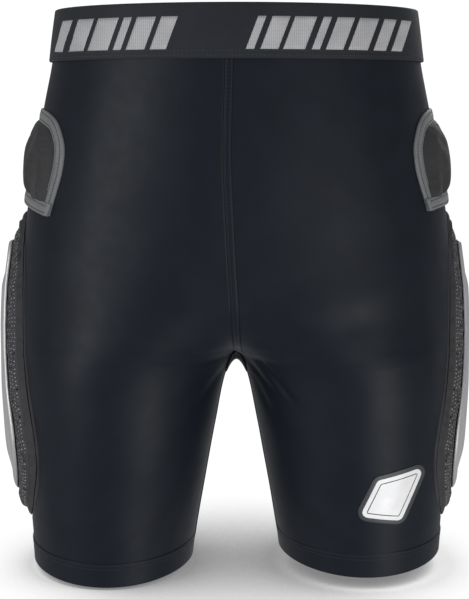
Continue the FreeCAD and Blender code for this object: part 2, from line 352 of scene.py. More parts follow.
def grid_object(name, points, side=LEFT, wrap_rows=False, wrap_cols=False):
    """A sheet through a grid of points, with UVs in metres along and across it."""
    if wrap_rows:
        points = closed_up(points)
    if wrap_cols:
        points = closed_up(points, 1)
    rows, cols = points.shape[:2]
    uvs = np.stack([arc_lengths(points, 1), arc_lengths(points, 0)], -1).reshape(-1, 2) * MM
    made = make_object(name, points.reshape(-1, 3), grid_faces(rows, cols, side), uvs)
    return weld(made) if wrap_rows or wrap_cols else made


def bar(name, points, closed=False):
    """A solid bar: rows of points go round its section, and columns run along it."""
    made = grid_object(name, points, wrap_rows=True, wrap_cols=closed)
    return made if closed else edit_mesh(made, close_ends)


def thicken(obj, thickness):
    """Gives a sheet its thickness, on the inner side."""
    made = obj.modifiers.new("thickness", "SOLIDIFY")
    made.thickness = thickness * MM
    made.offset = -1
    made.use_quality_normals = True
    return obj


def resample(points, count=None, spacing=None):
    """Evenly spaced points along a line of points."""
    points = np.asarray(points, float)
    run = arc_lengths(points, 0)
    if count is None:
        count = max(2, int(round(run[-1] / spacing)) + 1)
    at = np.linspace(0, run[-1], count)
    return np.stack([np.interp(at, run, points[:, k]) for k in range(points.shape[1])], -1)


def spline(points, closed=False, spacing=2.0, count=None):
    """A smooth curve through points, evenly sampled. A closed one doesn't repeat its first point."""
    points = np.asarray(points, float)
    if closed:
        padded = np.concatenate([points[-1:], points, points[:2]])
    else:
        padded = np.concatenate([2 * points[:1] - points[1:2], points, 2 * points[-1:] - points[-2:-1]])
    fine = []
    t = np.linspace(0, 1, 24, endpoint=False)[:, None]
    for a, b, c, d in zip(padded, padded[1:], padded[2:], padded[3:]):
        square, cube = 2 * a - 5 * b + 4 * c - d, 3 * b - a - 3 * c + d
        fine.append(0.5 * (2 * b + (c - a) * t + square * t**2 + cube * t**3))
    fine = np.concatenate(fine + [padded[-2][None]])
    if closed:
        return resample(fine, None if count is None else count + 1, spacing)[:-1]
    return resample(fine, count, spacing)


def both_halves(half):
    """A closed anticlockwise outline from the (across, z) points of its positive half."""
    half = np.asarray(half, float)
    other = half[::-1][1:-1] * (-1, 1)
    return np.concatenate([half, other])[::-1]


def distance_inside(points, outline):
    """How far each (across, z) point lies inside a closed outline."""
    a = np.asarray(outline, float)
    b = np.roll(a, -1, axis=0)
    p = points.reshape(-1, 1, 2)
    t = np.clip(((p - a) * (b - a)).sum(-1) / ((b - a) ** 2).sum(-1), 0, 1)
    near = np.linalg.norm(p - (a + t[..., None] * (b - a)), axis=-1).min(1)
    return near.reshape(points.shape[:-1])


def inset_line(line, distance, wrap, closed=False):
    """The line moved inwards, to the left of its run, by a distance that is measured over the body."""
    along = np.roll(line, -1, axis=0) - np.roll(line, 1, axis=0) if closed else np.gradient(line, axis=0)
    normal = np.stack([along[:, 1], -along[:, 0]], -1)
    normal /= np.linalg.norm(normal, axis=1, keepdims=True)
    unit = np.linalg.norm(lay(wrap, line) - lay(wrap, line - normal), axis=1)
    return line - normal * (distance / unit)[:, None]


def lay(wrap, flat, lift=0.0):
    """Flat points wrapped over the body."""
    return wrap(flat[..., 0], flat[..., 1], lift)


def ribbon(name, line, wrap, profile, closed=False):
    """A solid band along a line: profile is a loop of (inset, lift) pairs round its section."""
    rows = [lay(wrap, inset_line(line, inset, wrap, closed), lift) for inset, lift in profile]
    return bar(name, np.stack(rows), closed)


def apply_modifiers(obj):
    """Replaces an object's mesh with its evaluated mesh."""
    graph = bpy.context.evaluated_depsgraph_get()
    made = bpy.data.meshes.new_from_object(obj.evaluated_get(graph))
    obj.modifiers.clear()
    old = obj.data
    obj.data = made
    bpy.data.meshes.remove(old)
    return obj


def co_of(obj):
    co = np.zeros(len(obj.data.vertices) * 3)
    obj.data.vertices.foreach_get("co", co)
    return co.reshape(-1, 3)


def set_co(obj, co):
    obj.data.vertices.foreach_set("co", np.asarray(co, float).ravel())
    obj.data.update()


def mirror_copy(source, name):
    """The same mesh on the other side of the body."""
    made = link(name, source.data.copy())
    set_co(made, co_of(made) * (-1, 1, 1))
    made.data.flip_normals()
    return made


# ---- cushions


def to_spine(loop, low, high, count):
    """The rings inside a loop, in to a line down its middle from low to high."""
    core = np.stack([np.zeros(len(loop)), np.clip(loop[:, 1], low, high)], -1)
    return [loop + (core - loop) * share for share in np.linspace(0, 1, count + 1)[1:]]


CUSHION_FLOOR = 0.3


def cushion(name, rings, lifts, sewn, wrap):
    """A closed cushion from flat rings, with their heights and how firmly each is sewn to the body."""
    flat, lifts = closed_up(np.stack(rings), 1), closed_up(np.stack(lifts), 1)
    count, around = lifts.shape
    top = lay(wrap, flat, lifts)
    verts = np.concatenate([top, lay(wrap, flat, CUSHION_FLOOR)]).reshape(-1, 3)
    half = count * around
    faces = grid_faces(count, around, LEFT) + grid_faces(count, around, RIGHT, first=half)
    faces += [[j, j + 1, half + j + 1, half + j] for j in range(around - 1)]
    across = arc_lengths(top, 0).mean(1)
    uvs = np.stack(np.broadcast_arrays(arc_lengths(top[:1], 1), across[:, None]), -1)
    made = make_object(name, verts, faces, np.tile(uvs.reshape(-1, 2) * MM, (2, 1)))
    marks = {
        "sewn": np.concatenate([np.repeat(sewn, around), np.ones(half)]),
        "ring": np.tile(np.repeat(np.arange(count), around), 2),
    }
    for key, values in marks.items():
        made.data.attributes.new(key, "FLOAT", "POINT").data.foreach_set("value", values.astype(float))
    return weld(made)


FRAMES = 20
CLOTH_SETTINGS = {
    "use_pressure": True, "uniform_pressure_force": 4.0, "quality": 6, "mass": 0.3, "tension_stiffness": 20,
    "compression_stiffness": 20, "bending_stiffness": 0.6, "shrink_min": -0.05, "vertex_group_mass": "sewn",
}


def inflate(obj, cap):
    """Swells a cushion as cloth between its sewn places, no point by more than cap, and smooths it."""
    start = co_of(obj)
    weights = np.zeros(len(start))
    obj.data.attributes["sewn"].data.foreach_get("value", weights)
    group = obj.vertex_groups.new(name="sewn")
    for index in np.flatnonzero(weights > 0.01):
        group.add([int(index)], float(min(weights[index], 1.0)), "REPLACE")
    cloth = obj.modifiers.new("cloth", "CLOTH")
    cloth.settings.effector_weights.gravity = 0
    for key, value in CLOTH_SETTINGS.items():
        setattr(cloth.settings, key, value)
    cloth.point_cache.frame_start, cloth.point_cache.frame_end = 1, FRAMES
    for number in range(1, FRAMES + 1):
        bpy.context.scene.frame_set(number)
    apply_modifiers(obj)
    bpy.context.scene.frame_set(1)
    moved = co_of(obj) - start
    far = np.linalg.norm(moved, axis=1, keepdims=True)
    set_co(obj, start + moved * np.minimum(1, cap * MM / np.maximum(far, 1e-9)))
    obj.vertex_groups.clear()
    fine = obj.modifiers.new("fine", "SUBSURF")
    fine.levels = fine.render_levels = 1
    return apply_modifiers(obj)


RIM, RISE, ROUNDNESS = 0.8, 7.2, 0.62


def crown(inset, reach):
    """A cushion's height over the distance from its rim."""
    t = np.clip(inset / reach, 0, 1)
    return RIM + RISE * (1 - (1 - t) ** 2) ** ROUNDNESS


# ---- stitches


def tubes(name, segments, radius):
    """Short round-ended stitches: segments is a list of (start, end) points."""
    verts, faces = [], []
    shares = ((0.0, 0.25), (0.14, 0.85), (0.5, 1.0), (0.86, 0.85), (1.0, 0.25))
    turns = [2 * math.pi * k / 6 for k in range(6)]
    for start, end in segments:
        start, end = Vector(start), Vector(end)
        along = (end - start).normalized()
        one_way = along.orthogonal().normalized()
        other = along.cross(one_way)
        first = len(verts)
        for share, size in shares:
            centre = start.lerp(end, share)
            verts += [centre + (one_way * math.cos(t) + other * math.sin(t)) * radius * size for t in turns]
        rings = np.arange(first, len(verts)).reshape(-1, len(turns))
        for low, high in zip(rings, rings[1:]):
            faces += np.stack([low, np.roll(low, -1), np.roll(high, -1), high], 1).tolist()
        faces += [rings[0][::-1].tolist(), rings[-1].tolist()]
    return make_object(name, np.array(verts), faces)


def sew(name, lines, slot, radius, pitch=3.0, length=2.2):
    """Running stitches along lines of points."""
    segments = []
    for line in lines:
        line = resample(line, spacing=0.5)
        run = arc_lengths(line, 0)
        for k in range(int(run[-1] / pitch)):
            ends = (k * pitch, k * pitch + length)
            segments.append([np.array([np.interp(at, run, line[:, c]) for c in range(3)]) for at in ends])
    return dress(tubes(name, segments, radius), "dark_thread", slot)


# ---- materials


def scaled(colour, by):
    return tuple(c * by for c in colour)


class Shader:
    """A node material with one Principled shader. Coordinates are in metres."""

    def __init__(self, name, coords="Object", **values):
        self.material = bpy.data.materials.new(name)
        self.material.use_nodes = True
        self.tree = self.material.node_tree
        self.shader = self.tree.nodes["Principled BSDF"]
        self.coords = self.tree.nodes.new("ShaderNodeTexCoord").outputs[coords]
        self.set(**values)

    def feed(self, socket, value):
        if isinstance(value, bpy.types.NodeSocket):
            self.tree.links.new(value, socket)
        else:
            socket.default_value = (*value, 1.0) if isinstance(value, tuple) else value

    def set(self, **values):
        for key, value in values.items():
            self.feed(self.shader.inputs[key.replace("_", " ")], value)

    def node(self, kind, inputs, out=0, **settings):
        made = self.tree.nodes.new(kind)
        for key, value in settings.items():
            setattr(made, key, value)
        for key, value in inputs.items():
            self.feed(made.inputs[key], value)
        return made.outputs[out]

    def xyz(self):
        made = self.tree.nodes.new("ShaderNodeSeparateXYZ")
        self.feed(made.inputs[0], self.coords)
        return made.outputs

    def maths(self, operation, a, b=0.0, c=0.0):
        return self.node("ShaderNodeMath", {0: a, 1: b, 2: c}, operation=operation)

    def times(self, a, b):
        return self.maths("MULTIPLY", a, b)

    def mixed(self, a, share, b):
        """A share of a, and the rest of b."""
        return self.maths("ADD", self.times(a, share), self.times(b, 1 - share))

    def noise(self, size, detail=3.0, rough=0.5):
        """Noise whose features are about size metres across, from 0 to 1."""
        inputs = {"Vector": self.coords, "Scale": 1 / size, "Detail": detail, "Roughness": rough}
        return self.node("ShaderNodeTexNoise", inputs)

    def ribs(self, value, period):
        """A rounded rib profile from 0 to 1, repeated every period metres."""
        wave = self.maths("SINE", self.times(value, 2 * math.pi / period))
        return self.maths("MULTIPLY_ADD", wave, 0.5, 0.5)

    def between(self, value, low, high):
        """A colour that runs from low to high as the value runs from 0.3 to 0.7."""
        made = self.tree.nodes.new("ShaderNodeValToRGB")
        self.feed(made.inputs[0], value)
        for element, place, colour in zip(made.color_ramp.elements, (0.3, 0.7), (low, high)):
            element.position = place
            element.color = (*colour, 1.0)
        return made.outputs[0]

    def tint(self, value, colour, low, high):
        """Colours the surface from low to high times the colour."""
        self.set(Base_Color=self.between(value, scaled(colour, low), scaled(colour, high)))

    def dull(self, rough, spread, size, detail=3, rest=0.5):
        """Sets a roughness that varies over the surface."""
        self.set(Roughness=self.maths("MULTIPLY_ADD", self.noise(size, detail, rest), spread, rough))

    def bump(self, height, strength, distance, below=None):
        inputs = {"Height": height, "Strength": strength, "Distance": distance}
        return self.node("ShaderNodeBump", inputs if below is None else {**inputs, "Normal": below})

    def relief(self, *bump):
        """Sets the surface's bump."""
        self.set(Normal=self.bump(*bump))


def stretch_fabric(name, colour):
    """Fine satin stretch knit: wales and courses under a millimetre apart, with faint uneven wear."""
    s = Shader(name, "UV", Sheen_Weight=0.03, Sheen_Roughness=0.45, Specular_IOR_Level=0.12)
    s.set(Sheen_Tint=(0.75, 0.82, 1.0))
    x, y, _ = s.xyz()
    weave = s.times(s.ribs(x, 0.0009), s.ribs(y, 0.0007))
    s.tint(s.noise(0.03, 4, 0.55), colour, 0.86, 1.14)
    s.dull(0.39, 0.14, 0.012)
    s.relief(weave, 0.16, 0.00012, s.bump(s.noise(0.006, 3), 0.10, 0.0006))
    return s.material


SOFT = {"Sheen_Weight": 0.05, "Sheen_Roughness": 0.5, "Specular_IOR_Level": 0.2}


def woven_elastic(name, colour):
    """Waistband elastic: close upright ribs crossed by weft lines."""
    s = Shader(name, "UV", **SOFT)
    x, y, _ = s.xyz()
    weave = s.mixed(s.ribs(x, 0.0015), 0.6, s.ribs(y, 0.0010))
    s.tint(s.mixed(weave, 0.5, s.noise(0.02, 3)), colour, 0.75, 1.25)
    s.dull(0.58, 0.1, 0.004, 2)
    s.relief(weave, 0.35, 0.00025)
    return s.material


def plain_weave(name, colour, coords, pitch, rough, depth=0.0002):
    """Matte plain weave from crossed threads, for pads and linings."""
    s = Shader(name, coords, **SOFT)
    x, y, z = s.xyz()
    if coords == "Object":
        x, y = s.maths("ADD", x, y), z
    weave = s.times(s.ribs(x, pitch), s.ribs(y, pitch))
    s.tint(s.mixed(weave, 0.35, s.noise(0.025, 4)), colour, 0.78, 1.2)
    s.dull(rough - 0.06, 0.12, 0.008)
    s.relief(weave, 0.3, depth, s.bump(s.noise(0.008, 3), 0.12, 0.0008))
    return s.material


def grosgrain(name, colour):
    """Binding tape with ribs across its length."""
    s = Shader(name, "UV", Sheen_Weight=0.15, Sheen_Roughness=0.5, Specular_IOR_Level=0.4, Roughness=0.6)
    x, _, _ = s.xyz()
    ribs = s.mixed(s.ribs(x, 0.0011), 0.7, s.noise(0.0015, 2))
    s.tint(s.mixed(ribs, 0.5, s.noise(0.015, 3)), colour, 0.72, 1.2)
    s.relief(ribs, 0.4, 0.0002)
    return s.material


HOLE_PITCH, HOLE_ROW = 0.0034, 1.7  # between two holes of a row, and between the rows for each pitch


def perforated(name, colour, hole_shade):
    """Smooth padded fabric with staggered round holes: pale foam shows in some of them, and painted shade
    fills the rest and each hole's rim.
    """
    s = Shader(name, "UV", **SOFT)
    x, y, _ = s.xyz()
    near = 1.0
    for shift in (0.0, 0.5):
        a, b = (
            s.maths("SUBTRACT", s.maths("FRACT", s.maths("MULTIPLY_ADD", run, 1 / pitch, shift)), 0.5)
            for run, pitch in ((x, HOLE_PITCH), (y, HOLE_PITCH * HOLE_ROW))
        )
        b = s.times(b, HOLE_ROW)
        far = s.maths("SQRT", s.maths("ADD", s.times(a, a), s.times(b, b)))
        near = s.maths("MINIMUM", near, far)
    # mask marks each hole; foam runs from the pale foam at a hole's middle to painted shade at its rim
    mask, foam = (
        s.node("ShaderNodeMapRange", {"Value": near, "From Min": low, "From Max": high})
        for low, high in ((0.29, 0.36), (0.16, 0.24))
    )
    # noise turns some whole holes to painted shade
    foam = s.maths("MAXIMUM", foam, s.maths("MULTIPLY_ADD", s.noise(0.004, 1), 3.0, -1.2))
    cloud = s.between(s.noise(0.02, 4), scaled(colour, 0.85), scaled(colour, 1.18))
    inside = s.between(foam, (0.25, 0.25, 0.255), hole_shade)
    s.set(Base_Color=s.node("ShaderNodeMix", {0: mask, 6: inside, 7: cloud}, 2, data_type="RGBA"))
    s.set(Roughness=s.maths("MULTIPLY_ADD", mask, -0.2, 0.85))
    s.relief(mask, 0.6, 0.0006, s.bump(s.noise(0.0012, 2), 0.12, 0.0003))
    return s.material


def moulded(name, colour):
    """Moulded silver plastic with a fine grain and slight scuffs."""
    s = Shader(name, Metallic=0.35, Coat_Weight=0.25, Coat_Roughness=0.2, Specular_IOR_Level=0.5)
    s.tint(s.noise(0.018, 5, 0.6), colour, 0.9, 1.08)
    s.dull(0.28, 0.22, 0.006, 5, 0.7)
    s.relief(s.noise(0.0009, 2), 0.06, 0.0003, s.bump(s.noise(0.02, 2), 0.08, 0.0015))
    return s.material


def film(name, colour, rough):
    """Heat-pressed film with a fine bead texture."""
    s = Shader(name, Specular_IOR_Level=0.5)
    s.tint(s.noise(0.010, 4), colour, 0.93, 1.03)
    s.dull(rough, 0.15, 0.003)
    beads = s.node("ShaderNodeTexVoronoi", {"Vector": s.coords, "Scale": 1400.0})
    s.relief(beads, 0.1, 0.0002)
    return s.material


def thread(name, colour):
    """Twisted sewing thread."""
    s = Shader(name, Sheen_Weight=0.2, Sheen_Roughness=0.4, Specular_IOR_Level=0.4, Roughness=0.6)
    x, y, z = s.xyz()
    twist = s.ribs(s.maths("ADD", s.maths("ADD", x, y), s.times(z, 1.6)), 0.0006)
    s.tint(twist, colour, 0.7, 1.2)
    s.relief(twist, 0.3, 0.0001)
    return s.material


RECIPES = {
    "stretch_fabric": (stretch_fabric, (0.0070, 0.0094, 0.0142)),
    "inner_fabric": (plain_weave, (0.022, 0.024, 0.030), "UV", 0.0010, 0.75),
    "side_fabric": (plain_weave, (0.036, 0.036, 0.039), "UV", 0.0010, 0.62),
    "waist_elastic": (woven_elastic, (0.0125, 0.0145, 0.0195)),
    "mark_yarn": (woven_elastic, (0.36, 0.36, 0.37)),
    "pad_fabric": (plain_weave, (0.034, 0.034, 0.036), "Object", 0.0013, 0.66, 0.0003),
    "binding_tape": (grosgrain, (0.140, 0.145, 0.150)),
    # the second colour is the painted shade in the holes
    "perforated_mesh": (perforated, (0.050, 0.050, 0.053), (0.008, 0.008, 0.009)),
    "silver_plate": (moulded, (0.38, 0.38, 0.385)),
    "lining_mesh": (plain_weave, (0.035, 0.036, 0.040), "UV", 0.0022, 0.8, 0.0005),
    "gripper_elastic": (plain_weave, (0.045, 0.046, 0.050), "UV", 0.0016, 0.6, 0.0004),
    "reflective_film": (film, (0.78, 0.78, 0.79), 0.30),
    "patch_border": (film, (0.030, 0.033, 0.038), 0.42),
    "label_satin": (plain_weave, (0.62, 0.62, 0.60), "UV", 0.0007, 0.5, 0.0001),
    "dark_thread": (thread, (0.020, 0.022, 0.028)),
}
MATERIALS = {name: make(name, *values) for name, (make, *values) in RECIPES.items()}


def dress(obj, material, slot=None):
    """Gives a piece its material; slot is not used."""
    obj.data.materials.clear()
    obj.data.materials.append(MATERIALS[material])
    return (obj, slot or material)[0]


def fit(obj, body, *replaced):
    """Puts a piece on its body, in the place of the CAD nodes that it stands for."""
    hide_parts(*replaced)
    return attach(obj, body)


# ---- the shell


def bend(obj):
    """Bakes a piece's transform into its mesh."""
    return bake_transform(obj)


# Seams of the side panel: how far down, and how far each lies from the middle of the side. Above and
# below it, where that is negative, the front and back panels share one seam.
SIDE_SEAM = (
    (130, -8), (148, -6), (160, 0), (172, 10), (197, 22.5), (244, 35.5), (290, 46), (326, 53),
    (344, 54.5), (366, 51), (384, 44), (397, 34), (407, 20), (413, 6), (417, -4), (422, -8),
)
SIDE_TOP, SIDE_FOOT = -160.2, -415.2
PANEL_TOP, PANEL_INSET = -34.0, 4.0
CLOTH = 1.1
GROOVE, GROOVE_WIDTH = 1.0, 1.6
TUCK = 0.6  # how far the side panel reaches under its seams


def seam_y(z, toward):
    """The y of the side seam at the front (-1) or the back (1) of the side panel."""
    half = smooth_curve(SIDE_SEAM, -z)
    return -half if toward < 0 else np.abs(half)


def heights(top, foot):
    """Heights from top to foot, closer together round the crotch."""
    plain = np.arange(top, foot, -2.6)
    fine = np.arange(-CROTCH + 14, -CROTCH - 16, -0.9)
    every = np.unique(np.round(np.concatenate([plain, fine, [-CROTCH, foot]]), 3))[::-1]
    return every[(every <= top) & (every >= foot)]


def panel(name, side, z, start, end, shares, seams, sunk=0.0):
    """A sheet of fabric between two turns at each height, grooved along the edges named in seams."""
    turn = start[:, None] * (1 - shares) + end[:, None] * shares
    run = arc_lengths(fabric(side, z[:, None], turn), 1)
    lift = np.full(run.shape, -sunk)
    for seam in seams:
        gap = run if seam == "start" else run[:, -1:] - run
        lift -= GROOVE * np.exp(-((gap / GROOVE_WIDTH) ** 2))
    return grid_object(name, fabric(side, z[:, None], turn, lift), side)


FILLED = 0.8  # how much of its flat rectangle a cut piece takes up


def stretched(obj, length=None):
    """Works out the rectangle a held sheet is cut from, from its own mesh; nothing uses the result."""
    area = sum(p.area for p in obj.data.polygons)
    length = length or math.sqrt(area / FILLED)


def make_shell():
    wide_part, seam_part = np.linspace(0, 0.92, 84, endpoint=False), np.linspace(0.92, 1, 22)
    to_seam = np.concatenate([wide_part, seam_part])
    for side, who in SIDES:
        z = heights(PANEL_TOP, -HEM[side] + PANEL_INSET)
        wide = widest_turn(z)
        ahead, behind = side_turn(seam_y(z, -1), z), side_turn(seam_y(z, 1), z)
        front = panel(f"{who}_front_panel", side, z, -wide, ahead, to_seam, ["end"])
        back = panel(f"{who}_back_panel", side, z, behind, wide, 1 - to_seam[::-1], ["start"])
        z = heights(SIDE_TOP, SIDE_FOOT)
        ahead, behind = side_turn(seam_y(z, -1) - TUCK, z), side_turn(seam_y(z, 1) + TUCK, z)
        shares = np.linspace(0, 1, 50)
        strip = panel(f"{who}_side_strip", side, z, ahead, behind, shares, ["start", "end"], 0.15)
        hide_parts(f"{who}_seat_front", f"{who}_leg_front", f"{who}_flex_zone")
        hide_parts(f"{who}_seat_back", f"{who}_leg_back")
        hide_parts(f"{who}_side_panel")
        for obj, material in ((front, "stretch_fabric"), (back, "stretch_fabric"), (strip, "side_fabric")):
            dress(obj, material)
            stretched(obj, float(np.ptp(co_of(obj)[:, 2])) * 1.02)
            thicken(obj, CLOTH)
            obj.data.materials.append(MATERIALS["inner_fabric"])
            obj.modifiers["thickness"].material_offset = 1
            obj.modifiers["thickness"].material_offset_rim = 0
            bend(obj)


# ---- seams

RIDGE = ((-0.9, -0.5), (-0.7, 0.35), (0.1, 0.75), (2.4, 0.62), (4.7, 0.68), (5.4, 0.3), (5.5, -0.5))


def make_centre_seams():
    """The flat-felled centre seam, front and back, with two rows of stitches on each."""
    z = np.arange(-38.0, -270.0, -2.0)
    for name, wrap, line in (("front", on_front, -shift(z)), ("back", on_middle(1), 0 * z)):
        ridge = bar(f"{name}_centre_seam", np.stack([wrap(line + across, z, lift) for across, lift in RIDGE]))
        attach(dress(ridge, "stretch_fabric"), "seat")
        lines = [wrap(line + across, z, 0.78) for across in (0.9, 4.0)]
        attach(sew(f"{name}_centre_stitches", lines, "stretch_fabric", 0.15), "seat")


def make_inseams():
    """The overlocked seam down the inside of each leg."""
    for side, who in SIDES:
        z = np.arange(-290.0, -HEM[side] + 14, -2.0)
        _, _, front, back = level(z)
        rows = []
        for across, lift in ((-2.4, -0.4), (-2.2, 0.4), (-1.0, 0.75), (1.0, 0.75), (2.2, 0.4), (2.4, -0.4)):
            turn = math.pi - across / back if across > 0 else -math.pi - across / front
            rows.append(fabric(side, z, turn, lift))
        bend(dress(bar(f"{who}_inseam", np.stack(rows)), "stretch_fabric"))


def make_side_stitches():
    """A row of stitches beside each seam of the side panel, on the stretch fabric."""
    z = np.arange(-190.0, -404.0, -2.0)
    for side, who in SIDES:
        lines = [fabric(side, z, side_turn(seam_y(z, toward) + toward * 2.6, z), 0.05) for toward in (-1, 1)]
        bend(sew(f"{who}_side_stitches", lines, "stretch_fabric", 0.22))


GUSSET_HALF_WIDTH, GUSSET_HALF_LENGTH = 9.0, 34.0


def under_crotch(x, y, lift):
    """Points on the underside of the shell between the legs, drawn flat across the arch."""
    x, y = spread(x, y)
    ends = smoothstep(1.0, 0.6, np.abs(y) / GUSSET_HALF_LENGTH)
    flat = 3.6 * np.clip(1 - (x / GUSSET_HALF_WIDTH) ** 2, 0, 1) * ends
    x_on_arch = np.sqrt(x**2 + flat**2)
    low, high = np.full(x.shape, -CROTCH - 26.0), np.full(x.shape, -CROTCH + 44.0)
    for _ in range(40):
        z = (low + high) / 2
        centre, radius, _, _ = level(z)
        inside = ((x_on_arch - centre) / (radius + lift)) ** 2 + (y / (depth_at(z, y < 0) + lift)) ** 2 < 1
        low, high = np.where(inside, low, z), np.where(inside, z, high)
    return np.stack([x, y, (low + high) / 2], -1)


def make_gusset():
    """The lens-shaped gusset under the crotch."""
    y = np.linspace(-0.985, 0.985, 41)[:, None] * GUSSET_HALF_LENGTH
    half = GUSSET_HALF_WIDTH * np.sqrt(1 - (y / GUSSET_HALF_LENGTH) ** 2)
    x = half * np.linspace(-1, 1, 15)[None]
    rim = np.maximum(np.abs(y) / GUSSET_HALF_LENGTH, np.abs(x) / half) ** 8
    gusset = grid_object("crotch_lens", under_crotch(x, y + 0 * x, 0.9 - 0.5 * rim), RIGHT)
    fit(thicken(dress(gusset, "stretch_fabric"), 0.9), "seat", "crotch_gusset")


# ---- waistband, hems and label

AROUND = np.linspace(-math.pi, math.pi, 300, endpoint=False)


def around_line(side, z, lift):
    """A closed line round the waist or one leg."""
    return closed_up(mirrored(surface(z, AROUND, lift), side))


def ring(name, side, profile):
    """A closed band round the waist or one leg: profile is a closed loop of (lift, z)."""
    rows = [around_line(side, z, lift) for lift, z in profile]
    return grid_object(name, np.stack(rows), side, wrap_rows=True)


def band_profile(low, high, top, foot, radius, bulge=0.0):
    """A loop of (lift, z) with round edges, between two lifts and two heights."""
    rows = max(4, int((top - foot) / 2.2))
    middle, wide = (low + high) / 2, (high - low) / 2 - radius
    share = np.arange(rows + 1) / rows
    run = (top - foot - 2 * radius) * share
    out = math.pi / 10 * np.arange(1, 5)
    back = math.pi / 10 * np.arange(5, 0, -1)

    def corner(way, up, z, turn):
        return middle + way * (wide + radius * np.cos(turn)), z + up * radius * np.sin(turn)

    return np.concatenate([
        np.stack(line, -1) for line in (
            (high + bulge * np.sin(math.pi * share), top - radius - run),
            corner(1, -1, foot + radius, out), corner(-1, -1, foot + radius, back),
            (np.full(rows + 1, low), foot + radius + run),
            corner(-1, 1, top - radius, out), corner(1, 1, top - radius, back),
        )
    ])


def make_waistband():
    band = ring("waistband_elastic", LEFT, band_profile(0.4, 2.6, 0.0, -BAND, 1.0, 0.25))
    fit(dress(band, "waist_elastic"), "seat", "waistband")
    lines = [around_line(LEFT, z, 2.72) for z in (-BAND + 2.4, -BAND + 5.6)]
    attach(sew("waistband_stitches", lines, "waist_elastic", 0.22), "seat")


MARK_TOP, MARK_FOOT, MARK_LEAN, MARK_REACH = -10.0, -33.5, 9.0, 142
# Slanted bars woven into the band at the front: centre x and width.
MARK_BARS = {
    "right": [(-133, 9), (-117, 13), (-99, 16), (-84, 6), (-70, 14), (-53, 12)],
    "left": [(14, 6), (28, 13), (46, 16), (62, 6), (76, 13), (94, 15), (111, 10), (125, 9)],
}


def make_marks():
    """A generic pattern of slanted bars in grey yarn on the front of the waistband."""
    rows, cols = 9, 9
    edge = np.ones((rows, cols))
    edge[[0, -1]], edge[:, [0, -1]] = 0, 0
    z = np.linspace(MARK_TOP, MARK_FOOT, rows)[:, None]
    lean = MARK_LEAN * np.linspace(0.5, -0.5, rows)[:, None]
    for who, bars in MARK_BARS.items():
        verts, faces, uvs = [], [], []
        for centre, width in bars:
            straight = np.linspace(centre - width / 2, centre + width / 2, cols)[None]
            across = np.clip(straight + lean, -MARK_REACH, MARK_REACH)
            points = on_middle(-1)(across, z, 2.72 + 0.12 * edge + 0.25 * np.sin(-math.pi * z / BAND))
            faces += grid_faces(rows, cols, LEFT, first=len(verts))
            verts += points.reshape(-1, 3).tolist()
            uvs += (np.stack(spread(across, z), -1) * MM).reshape(-1, 2).tolist()
        mark = make_object(f"waistband_bars_{who}", verts, faces, uvs)
        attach(thicken(dress(mark, "mark_yarn", "waist_elastic"), 0.3), "seat")


HEM_HEIGHT = 20.0


def make_hems():
    for side, who in SIDES:
        foot = -HEM[side]
        top = foot + HEM_HEIGHT
        hem = ring(f"{who}_hem_fold", side, band_profile(-1.5, 0.6, top, foot, 0.45))
        fit(dress(hem, "stretch_fabric"), f"{who}_leg", f"{who}_leg_hem")
        lines = [around_line(side, top - inset, 0.62) for inset in (2.0, 5.0)]
        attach(sew(f"{who}_hem_stitches", lines, "stretch_fabric", 0.18), f"{who}_leg")
        grip = ring(f"{who}_gripper", side, band_profile(-2.9, -1.7, top - 1.5, foot + 2, 0.5))
        fit(dress(grip, "gripper_elastic"), f"{who}_leg", f"{who}_hem_gripper")


def make_label():
    """The care label inside the back of the waist, sewn under the band and free at its foot."""
    x = np.linspace(-17, 17, 25)[None]
    z = np.linspace(-30, -90, 40)[:, None]
    curl = 5.0 * smoothstep(-66, -92, z) + 0.5 * np.sin(x / 6) * smoothstep(-50, -90, z)
    label = grid_object("care_label_cloth", on_middle(1)(x, z, -2.0 - curl), LEFT)
    fit(thicken(dress(label, "label_satin"), 0.3), "seat", "care_label")


# ---- pads

# Hip pad, side view (y, z): the tape over its top, from back to front, the tape along its foot, and the
# padded cover inside them.
HIP_ARCH = (
    (58, -139), (62.5, -124), (61.5, -106), (47, -84), (0, -76), (-42, -81), (-58.5, -98), (-62, -122),
    (-57, -158.5),
)
HIP_FOOT = ((-57.5, -158.5), (-30, -153), (12, -147), (60, -138.5))
HIP_COVER = (
    (0, -84), (-37, -88.5), (-51, -102), (-54.5, -124), (-52.5, -150), (-20, -143.5), (22, -137), (51, -132),
    (54.5, -122), (53.5, -108), (40, -90.5),
)
# Thigh pad, side view: the back half of its edge, and of the edge of the plate on it.
THIGH_EDGE = (
    (0, -158), (6, -161), (11.5, -172), (17, -190), (25, -212), (33.5, -242), (44, -290), (51, -326),
    (52.5, -344), (49, -366), (33, -396), (14, -409), (0, -411.5),
)
PLATE_EDGE = (
    (0, -182), (10, -187), (16, -218), (22, -255), (34, -298), (41.5, -328), (41, -352), (30, -375),
    (12, -386), (0, -388),
)
TAIL_EDGE = ((0, -74), (30, -75), (46, -88), (46, -120), (34, -160), (18, -186), (0, -194))
TAPE_WIDTH = 10.5
TAPE_PROFILE = (
    (0, 0.3), (0, 1.3), (0.5, 1.9), (1.6, 2.2), (2.4, 1.75), (3.2, 2.25), (5.2, 2.45), (7.3, 2.25),
    (8.1, 1.75), (8.9, 2.2), (10, 1.9), (TAPE_WIDTH, 1.3), (TAPE_WIDTH, 0.3),
)
STITCH_INSETS = (2.4, 8.1)


